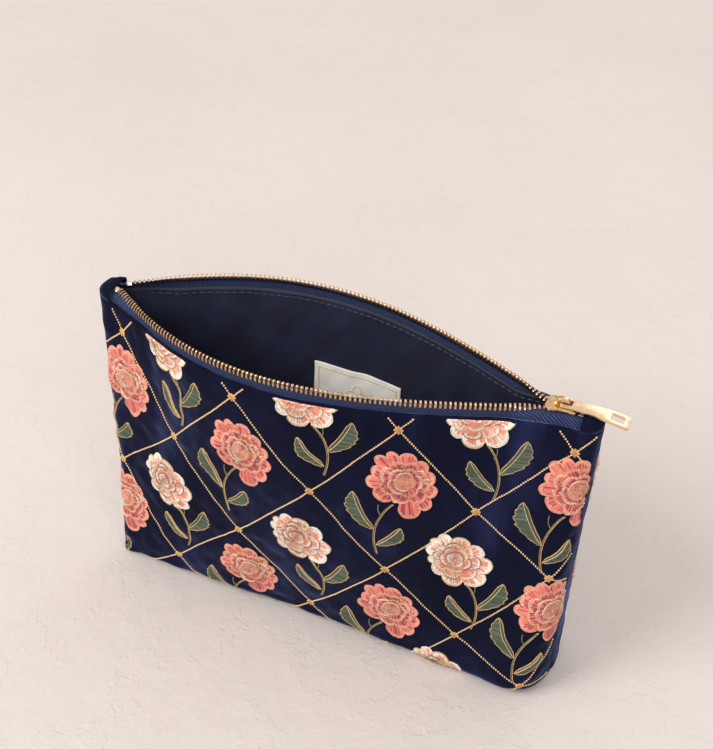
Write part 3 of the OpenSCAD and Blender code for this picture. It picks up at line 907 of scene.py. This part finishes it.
def polished(node, name, body, material, bevel, squash_index=None):
    """The CAD shape with its edges broken, as cast and tumbled metal has."""
    merge, flat, corner, crease = 2e-6, math.radians(2), math.radians(28), math.radians(40)
    bm = bmesh.new()
    bm.from_mesh(frame["nodes"][node].data)
    bmesh.ops.remove_doubles(bm, verts=bm.verts, dist=merge)
    bmesh.ops.dissolve_limit(bm, angle_limit=flat, verts=bm.verts, edges=bm.edges)
    sharp = [e for e in bm.edges if len(e.link_faces) == 2 and e.calc_face_angle(0) > corner]
    bmesh.ops.bevel(
        bm, geom=sharp, offset=bevel * MM, segments=3, affect="EDGES", profile=0.5, clamp_overlap=True
    )
    bmesh.ops.triangulate(bm, faces=[f for f in bm.faces if len(f.verts) > 4])
    mesh = bpy.data.meshes.new(name)
    bm.to_mesh(mesh)
    bm.free()
    mesh.shade_smooth()
    mesh.set_sharp_from_angle(angle=crease)
    obj = add_object(name, mesh)
    dress(obj, material, body)
    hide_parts(node)
    if squash_index is not None:
        shut(obj)


# ---- embroidery -------------------------------------------------------------

# Stitches end here: mm below the zip seam, mm from a side seam, share of the way to the base seam
MOUTH_EDGE, SEAM_EDGE, BASE_EDGE = 0.9, 1.0, 0.99


class Stitches:
    """Stitches drawn on the flat cloth, then laid on one panel."""

    ALONG = np.array([0.0, 0.25, 0.78, 1.0])
    SWELL = np.array([0.45, 1.0, 1.0, 0.4])

    def __init__(self, side):
        self.side = side
        self.rows = []

    def stitch(self, start, end, width, height, color, base=0.05):
        """One ridge of thread that dips into the cloth at both ends. A long one is split."""
        start, end = np.asarray(start, float), np.asarray(end, float)
        parts = max(1, math.ceil(np.hypot(*(end - start)) / LONGEST_STITCH))
        overlap = 0.12 / parts if parts > 1 else 0
        for k in range(parts):
            p, q = mix(start, end, k / parts - overlap), mix(start, end, (k + 1) / parts + overlap)
            self.rows.append((*p, *q, width, height, base, *color))

    def lay(self, name):
        rows = np.array(self.rows)
        start, end = rows[:, 0:2], rows[:, 2:4]
        rows = rows[np.hypot(*(end - start).T) > 0.05]
        start, end = rows[:, 0:2], rows[:, 2:4]
        centre = start[:, None] + (end - start)[:, None] * self.ALONG[None, :, None]
        kept = (centre[..., 1] > MOUTH_EDGE).any(axis=1)
        centre[..., 1] = np.maximum(centre[..., 1], MOUTH_EDGE)
        u, w, inside = cloth_place(self.side, centre[..., 0], centre[..., 1])
        good = (inside & (seam_distance(u) > SEAM_EDGE) & (w < BASE_EDGE)).all(axis=1) & kept
        u, w, rows = u[good], w[good], rows[good]
        p, n = skin(self.side, u, w)
        along = unit(p[:, 3] - p[:, 0])[:, None]
        across = unit(np.cross(n, along)) * (rows[:, 4, None] / 2 * mix(0.7, 1, self.SWELL))[..., None]
        low = n * -0.12
        top = n * (rows[:, 6, None] * self.SWELL**0.5 + rows[:, 5, None] * self.SWELL)[..., None]
        verts = np.stack([p - across + low, p + top, p + across + low], 2).reshape(-1, 3)
        verts[:, 2] = np.maximum(verts[:, 2], FLOOR_CLEAR)
        faces = []
        for k in range(len(rows)):
            v = k * 12
            for r in (v, v + 3, v + 6):
                faces.append((r, r + 1, r + 4, r + 3))
                faces.append((r + 1, r + 2, r + 5, r + 4))
            faces.append((v, v + 2, v + 1))
            faces.append((v + 9, v + 10, v + 11))
        obj = build(name, verts, faces)
        color = np.ones((len(rows), 12, 4), np.float32)
        color[..., :3] = rows[:, None, 7:10]
        layer = obj.data.color_attributes.new("yarn", "FLOAT_COLOR", "POINT")
        layer.data.foreach_set("color", color.ravel())
        dress(obj, FLOWER_YARN)
        flatten(obj)


def shade(color, rng, amount=0.12):
    f = 1 + rng.uniform(-amount, amount)
    return tuple(min(1, c * f) for c in color)


SALMON = (0.98, 0.43, 0.31)
CORAL = (0.86, 0.25, 0.18)
ROSE = (0.46, 0.05, 0.09)
PEACH = (0.93, 0.40, 0.25)
CREAM = (1.0, 0.92, 0.80)
BLUSH = (0.92, 0.33, 0.23)
BRONZE = (0.26, 0.13, 0.06)
GOLD = (0.74, 0.47, 0.20)
SPARK = (1.0, 0.84, 0.60)
TAUPE = (0.74, 0.60, 0.55)
AMBER = (0.50, 0.30, 0.14)
RIB = (0.88, 0.64, 0.36)
PATCH = (0.80, 0.47, 0.15)
LEAF = (0.062, 0.092, 0.055)
LEAF_LIGHT = (0.13, 0.175, 0.115)
STEM = (0.26, 0.21, 0.075)


def petals(st, rng, heart, shapes, inner, band, edge, inside, lift, outline, stretch=(1.0, 1.0)):
    """Round petals with beaded rims.

    A shape is a direction, a half spread and a reach, in degrees and mm. Directions turn down the cloth.
    """
    for index, (way, half, reach) in enumerate(shapes):
        steps = max(6, int(math.radians(2 * half) * reach / 0.5))
        raise_by = 0.14 * (index % 2)
        rim = []
        for k in range(steps + 1):
            f = -1 + 2 * k / steps
            phi = math.radians(way + 1.06 * half * f)
            ray = np.array([math.cos(phi) * stretch[0], math.sin(phi) * stretch[1]])
            far = reach * (1 - 0.2 * abs(f) ** 2.4) + rng.uniform(-0.12, 0.12)
            cut = far - band * (1 - 0.3 * abs(f)) * rng.uniform(0.6, 1.3)
            start = inner * rng.uniform(0.86, 1.04)
            dome = lift + raise_by - 0.16 * abs(f)
            pick = inside[int(rng.random() * len(inside))]
            tone = edge if abs(f) < 0.86 else tuple(mix(e, p, 0.6) for e, p in zip(edge, pick))
            p, q, end = heart + ray * start, heart + ray * cut, heart + ray * far
            st.stitch(p, q + ray * 0.7, 0.6, 0.26, shade(pick, rng), dome * 0.8)
            st.stitch(q, end, 0.6, 0.3, shade(tone, rng, 0.1), dome)
            rim.append(end + ray * 0.12)
        beaded(st, rng, np.array(rim), 0.4, outline[index % len(outline)], lift + 0.2, 0.72)


def sparks(st, rng, heart, count, low, high, lift, stretch, colors):
    for _ in range(count):
        turn, f = rng.uniform(0, 6.28), math.sqrt(rng.uniform(0, 1))
        r = mix(low, high, f)
        p = heart + r * np.array([math.cos(turn) * stretch[0], math.sin(turn) * stretch[1]])
        q = p + 0.75 * np.array([math.cos(turn + 0.8), math.sin(turn + 0.8)])
        pick = colors[int(rng.random() * len(colors))]
        st.stitch(p, q, 0.34, 0.26, shade(pick, rng), base=lift * (1 - 0.6 * r / high) + 0.22)


def heart_ring(st, rng, heart, radius, color):
    turn = np.linspace(0, 2 * math.pi, 40)
    wobble = 1 + 0.05 * np.sin(3 * turn + radius)
    path = heart + radius * np.stack([np.cos(turn) * wobble, np.sin(turn) * wobble], -1)
    beaded(st, rng, path, 0.3, color, 1.2, 0.9)


def coral_head(st, rng, c):
    heart = c + np.array([2.2, -2.6])
    outer = [(171, 13, 16.6), (139, 20, 16.2), (112, 9, 13.0), (83, 16, 20.2), (55, 15, 16.8)]
    outer += [(24, 17, 14.2), (-13, 19, 12.4), (-50, 19, 12.6), (-87, 19, 14.4)]
    outer += [(-115, 12, 15.8), (-139, 13, 16.4), (-165, 14, 14.8)]
    middle = [(-160, 24, 10.8), (-115, 24, 10.6), (-70, 23, 10.0), (-28, 22, 9.2)]
    middle += [(14, 22, 10.2), (58, 24, 12.2), (104, 23, 12.0), (150, 24, 11.6)]
    inner = [(-140, 36, 7.4), (-70, 36, 7.0), (0, 36, 7.0), (70, 36, 8.0), (145, 38, 7.8)]
    bud = [(-100, 62, 4.8), (20, 62, 4.2), (140, 62, 4.9)]
    petals(st, rng, heart, outer, 6.0, 1.9, SALMON, (ROSE, CORAL, CORAL), 0.12, (SALMON, PEACH))
    petals(st, rng, heart, middle, 4.0, 1.5, SALMON, (ROSE, ROSE, CORAL), 0.42, (SPARK, GOLD, SALMON))
    petals(st, rng, heart, inner, 2.0, 1.4, SALMON, (ROSE, CORAL), 0.72, (SPARK, GOLD))
    petals(st, rng, heart, bud, 0.2, 1.5, PEACH, (CORAL, PEACH, SALMON), 0.95, (SPARK, GOLD))
    sparks(st, rng, heart, 40, 0.2, 3.4, 1.25, (1, 1), (SPARK, GOLD, CORAL))
    sparks(st, rng, heart, 90, 4.0, 10.8, 0.8, (1, 1), (SPARK, SPARK, GOLD, ROSE))


def cream_head(st, rng, c):
    heart = c + np.array([-2.6, -2.4])
    wide = (1.06, 1.04)
    outer = [(-167, 16, 12.2), (161, 15, 11.6), (130, 18, 12.8), (93, 20, 15.2), (49, 21, 17.0)]
    outer += [(10, 19, 15.4), (-30, 20, 12.8), (-77, 24, 11.6), (-117, 16, 12.6), (-143, 13, 12.6)]
    middle = [(-150, 27, 8.8), (-97, 27, 8.2), (-44, 26, 8.8), (6, 24, 10.6)]
    middle += [(52, 24, 12.0), (98, 24, 11.0), (142, 23, 9.6), (180, 18, 9.0)]
    inner = [(-120, 40, 6.0), (-48, 38, 6.0), (22, 36, 6.8), (90, 36, 7.2), (160, 40, 6.4)]
    bud = [(-60, 62, 3.7), (60, 62, 3.9), (180, 62, 3.6)]
    petals(st, rng, heart, outer, 5.0, 2.4, CREAM, (BLUSH, BLUSH, CREAM), 0.12, (CREAM, GOLD), wide)
    petals(st, rng, heart, middle, 3.2, 1.5, CREAM, (BLUSH, BLUSH, BLUSH, CREAM), 0.42, (GOLD, BRONZE), wide)
    petals(st, rng, heart, inner, 1.8, 1.4, CREAM, (BLUSH, BLUSH, PEACH), 0.72, (BRONZE, GOLD), wide)
    petals(st, rng, heart, bud, 0.3, 1.2, CREAM, (TAUPE, BLUSH), 0.95, (BRONZE, GOLD), wide)
    heart_ring(st, rng, heart, 1.0, AMBER)
    sparks(st, rng, heart, 36, 3.0, 9.0, 0.9, wide, (BRONZE, GOLD, BLUSH))


def curve_points(points, n):
    """Smooth quadratic run through three points."""
    p0, p1, p2 = [np.asarray(p, float) for p in points]
    control = 2 * p1 - (p0 + p2) / 2
    t = np.linspace(0, 1, n)[:, None]
    return (1 - t) ** 2 * p0 + 2 * t * (1 - t) * control + t**2 * p2


def beaded(st, rng, path, width, color, base=0.1, pitch=1.0):
    """Row of short overlapping stitches along a path."""
    steps = np.concatenate([[0], np.cumsum(np.hypot(*np.diff(path, axis=0).T))])
    count = max(2, int(steps[-1] / pitch))
    at = np.linspace(0, steps[-1], count + 1)
    p = np.stack([np.interp(at, steps, path[:, 0]), np.interp(at, steps, path[:, 1])], 1)
    for k in range(count):
        way = unit(p[k + 1] - p[k])
        tilt = np.array([-way[1], way[0]]) * 0.12 * width
        end = p[k + 1] + tilt - way * 0.12
        st.stitch(p[k] - tilt, end, width, width * 0.8, shade(color, rng, 0.18), base)


def leaf(st, rng, root, tip, wide, toothed):
    """Sickle leaf with its rib near the smooth edge. toothed is the side of the other edge, 1 or -1."""
    root, tip = np.asarray(root, float), np.asarray(tip, float)
    way = unit(tip - root)
    normal = np.array([-way[1], way[0]]) * toothed
    length = np.hypot(*(tip - root))
    n = int(length / 0.5)
    rib, full, slim = [], [], []
    for k in range(n + 1):
        t = k / n
        mid = mix(root, tip, t) + normal * 0.055 * length * 4 * t * (1 - t)
        body = math.sin(math.pi * min(1.0, 0.05 + 0.95 * t)) ** 0.8
        notch = 1 + 0.27 * ((t * 6) % 1.0)
        rib.append(mid)
        full.append(mid + (normal + way * 0.42) * wide * 0.66 * body * notch)
        slim.append(mid - normal * wide * 0.2 * min(1.0, 6 * t, 5 * (1 - t) + 0.2))
        tone = LEAF if rng.random() < 0.8 else LEAF_LIGHT
        st.stitch(mid, full[-1], 0.66, 0.22, shade(tone, rng), 0.1)
        st.stitch(mid, slim[-1], 0.66, 0.2, shade(LEAF, rng), 0.08)
    beaded(st, rng, np.array(full), 0.42, GOLD, 0.2, 0.75)
    beaded(st, rng, np.array(slim), 0.42, GOLD, 0.2, 0.75)
    beaded(st, rng, np.array(rib), 0.4, RIB, 0.3, 0.8)


def stem(st, rng, points):
    path = curve_points(points, 40)
    beaded(st, rng, path + (0.3, 0), 0.44, GOLD, 0.15, 0.9)
    beaded(st, rng, path - (0.3, 0), 0.62, STEM, 0.12, 1.1)


def coral_flower(st, greens, rng, c):
    stem(greens, rng, [c + (0.9, -1.6), c + (-6.6, 13.2), c + (-6.0, 30.5)])
    beaded(greens, rng, curve_points([c + (-5.2, -0.5), c + (-5.2, 3.4), c + (-3.4, 6.0)], 12), 0.5, STEM)
    leaf(greens, rng, c + (-7.2, 15.2), c + (-16.4, -5.0), 7.4, -1)
    leaf(greens, rng, c + (-6.2, 24.4), c + (4.2, 12.0), 6.2, 1)
    coral_head(st, rng, c + np.array([3.8, -12.6]))


def cream_flower(st, greens, rng, c):
    stem(greens, rng, [c + (0.2, 3.0), c + (6.0, 15.5), c + (4.2, 31.0)])
    beaded(greens, rng, curve_points([c + (4.6, 4.5), c + (4.6, 7.5), c + (3.2, 9.5)], 12), 0.5, STEM)
    leaf(greens, rng, c + (6.2, 17.0), c + (16.8, -0.5), 7.0, 1)
    leaf(greens, rng, c + (4.4, 26.0), c + (-6.4, 11.5), 5.8, -1)
    cream_head(st, rng, c + np.array([-2.2, -8.6]))


def flowers(side, word):
    """Rows of cream and coral flowers by turns, one in each cell of the trellis."""
    greens = Stitches(side)
    for r in range(5):
        kind, grow = ("coral", coral_flower) if r % 2 else ("cream", cream_flower)
        heads = Stitches(side)
        for c in range(-1, 8):
            if (c + r) % 2:
                rng = random.Random(1000 * c + 10 * r + side)
                grow(heads, greens, rng, trellis_point(c, r))
        heads.lay(f"{kind}_peonies_{word}_{r}")
    greens.lay("leaves_" + word)


def crossings(columns, rows):
    """Column and row of each point where two cords cross."""
    return [(c, r) for c in columns for r in rows if (c + r) % 2 == 0]


def trellis(side, word):
    """Couched gold cord along the lines of the trellis."""
    rng = random.Random(77 + side)
    pitch = 1.25
    ways, centres = [], []
    for c, r in crossings(range(-2, 9), range(-2, 5)):
        here = trellis_point(c, r)
        for dc in (1, -1):
            run = trellis_point(c + dc, r + 1) - here
            count = int(np.hypot(*run) / pitch)
            way = unit(run)
            normal = np.array([-way[1], way[0]])
            for k in range(count):
                wobble = 0.14 * math.sin(k * 0.21 + c) + rng.uniform(-0.05, 0.05)
                centres.append(here + run * (k + 0.5) / count + normal * wobble)
                ways.append(way + normal * 0.42)
    centres, ways = np.array(centres), unit(np.array(ways))
    u, w, inside = cloth_place(side, centres[:, 0], centres[:, 1])
    on_cloth = (centres[:, 1] > MOUTH_EDGE + 0.5) & (seam_distance(u) > SEAM_EDGE + 0.2)
    good = inside & on_cloth & (w < BASE_EDGE)
    u, w, centres, ways = u[good], w[good], centres[good], ways[good]
    lift = 0.12
    at, n = skin(side, u, w, lift)
    ahead = centres + ways * 0.6
    u2, w2, _ = cloth_place(side, ahead[:, 0], ahead[:, 1])
    along = unit(skin(side, u2, w2, lift)[0] - at)
    axes = axes_from(along, unit(np.cross(n, along)))
    sizes = [(0.55 * rng.uniform(0.9, 1.08), 0.40, 0.42) for _ in u]
    verts, faces = many(bead_shape(7, 5), at, axes, sizes)
    verts[:, 2] = np.maximum(verts[:, 2], FLOOR_CLEAR)
    obj = build("trellis_" + word, verts, faces)
    dress(obj, GOLD_YARN)
    flatten(obj)


def patches(side, word):
    """Small four-pointed satin patches where the cords cross."""
    rng = random.Random(99 + side)
    st = Stitches(side)
    for c, r in crossings(range(-1, 8), range(-1, 5)):
        here = trellis_point(c, r)
        for f in np.arange(-8, 9) / 8:
            full = 1 - abs(f)
            half = 1.7 * full**1.15 + 0.3
            low, high = here + (1.8 * f, -half), here + (1.8 * f, half)
            st.stitch(low, high, 0.5, 0.26, shade(PATCH, rng, 0.06), 0.32 * full + 0.34)
    st.lay("patches_" + word)


# ---- assembly ---------------------------------------------------------------

for panel_side, panel_word in ((FRONT, "front"), (BACK, "back")):
    velvet_panel(panel_side, panel_word)
    lining_panel(panel_side, panel_word)
    tape_piece(panel_side, panel_word)
    lining_stitches(panel_side, panel_word)
    trellis(panel_side, panel_word)
    patches(panel_side, panel_word)
    flowers(panel_side, panel_word)

end_tab("tab_left", "left_end_tab", TAB_LEFT_X, SEAM_LEFT)
end_tab("tab_right", "right_end_tab", TAB_RIGHT_X, SEAM_RIGHT)
label_piece()
label_border()

# The teeth of the back chain stand half a pitch further on, so that the two chains mesh
tooth_chain(FRONT, "front", 0, OPEN_TEETH + 6)
tooth_chain(BACK, "back", 1.5, OPEN_TEETH + 5.5)
polished("front_top_stop", "top_stop_front", "pouch", STOP_METAL, 0.22, -1)
polished("back_top_stop", "top_stop_back", "pouch", STOP_METAL, 0.22, 0.2)
polished("bottom_stop", "stop_bottom", "pouch", STOP_METAL, 0.2)
polished("slider_body", "zip_slider", "slider", SLIDER_METAL, 0.14)
polished("slider_crown", "zip_crown", "slider", SLIDER_METAL, 0.22)
polished("pull_tab", "zip_pull", "pull", PULL_METAL, 0.2)


# ---- floor, light and camera -------------------------------------------------


def floor():
    half = 6
    corners = [(-half, -half, 0), (half, -half, 0), (half, half, 0), (-half, half, 0)]
    mesh = bpy.data.meshes.new("floor")
    mesh.from_pydata(corners, [], [(0, 1, 2, 3)])
    obj = add_object("floor", mesh)
    s = Shader("plaster")
    broad = s.noise(s.space(), 3.0, 4.0, 0.55)
    trowel = s.noise(s.space(), 22.0, 6.0, 0.62)
    scratch = s.ramp(trowel, [(0.53, (0, 0, 0)), (0.545, (1, 1, 1)), (0.56, (0, 0, 0))])
    color = s.ramp(broad, [(0.3, (0.605, 0.548, 0.515)), (0.7, (0.655, 0.598, 0.565))])
    s.set(Roughness=0.9)
    height = s.math("ADD", trowel, s.math("MULTIPLY", scratch, 0.06))
    obj.data.materials.append(s.finish(color=color, normal=s.bump(height, 0.5, 0.004)))


def area_light(name, place, target, size, power, color=(1, 1, 1)):
    data = bpy.data.lights.new(name, "AREA")
    data.shape = "DISK"
    data.size = size
    data.energy = power
    data.color = color
    obj = add_object(name, data)
    obj.location = place
    obj.rotation_euler = (Vector(target) - Vector(place)).to_track_quat("-Z", "Y").to_euler()


def world():
    """Soft studio dome, darker towards the ground so that metal has something to reflect."""
    bpy.context.scene.world = bpy.data.worlds.new("studio")
    bpy.context.scene.world.use_nodes = True
    tree = bpy.context.scene.world.node_tree
    sky = tree.nodes["Background"]
    way = tree.nodes.new("ShaderNodeTexCoord")
    split = tree.nodes.new("ShaderNodeSeparateXYZ")
    ramp = tree.nodes.new("ShaderNodeValToRGB")
    stops = ((0.0, (0.30, 0.28, 0.27, 1)), (0.75, (1.0, 0.965, 0.94, 1)))
    for element, (height, color) in zip(ramp.color_ramp.elements, stops):
        element.position = height
        element.color = color
    tree.links.new(way.outputs["Generated"], split.inputs["Vector"])
    tree.links.new(split.outputs["Z"], ramp.inputs["Fac"])
    tree.links.new(ramp.outputs["Color"], sky.inputs["Color"])
    sky.inputs["Strength"].default_value = 1.0


def camera():
    """Seen from the front right and above, as the object is photographed."""
    azimuth, elevation, roll = (math.radians(d) for d in (20.9, 37.5, 2.58))
    target = Vector((0.0140, 0.0, 0.1396))
    distance = 0.5749
    level = math.cos(elevation)
    back = Vector((math.sin(azimuth) * level, -math.cos(azimuth) * level, math.sin(elevation)))
    right = Vector((math.cos(azimuth), math.sin(azimuth), 0))
    up = back.cross(right)
    tilted = right * math.cos(roll) + up * math.sin(roll)
    upright = up * math.cos(roll) - right * math.sin(roll)
    data = bpy.data.cameras.new("camera")
    data.sensor_width = 36
    data.lens = 64.9
    obj = add_object("camera", data)
    place = target + back * distance
    rows = [(tilted[k], upright[k], back[k], place[k]) for k in range(3)] + [(0, 0, 0, 1)]
    obj.matrix_world = Matrix(rows)
    bpy.context.scene.camera = obj


floor()
world()
bpy.context.scene.view_settings.view_transform = "Standard"
middle = (0, 0, 0.07)
area_light("key", (-1.3, -1.5, 1.8), middle, 1.3, 41, (1, 0.98, 0.96))
area_light("fill", (1.3, -1.5, 1.2), middle, 1.4, 14, (1, 0.985, 0.97))
area_light("rim", (0.3, 1.6, 1.1), middle, 0.8, 3)
camera()
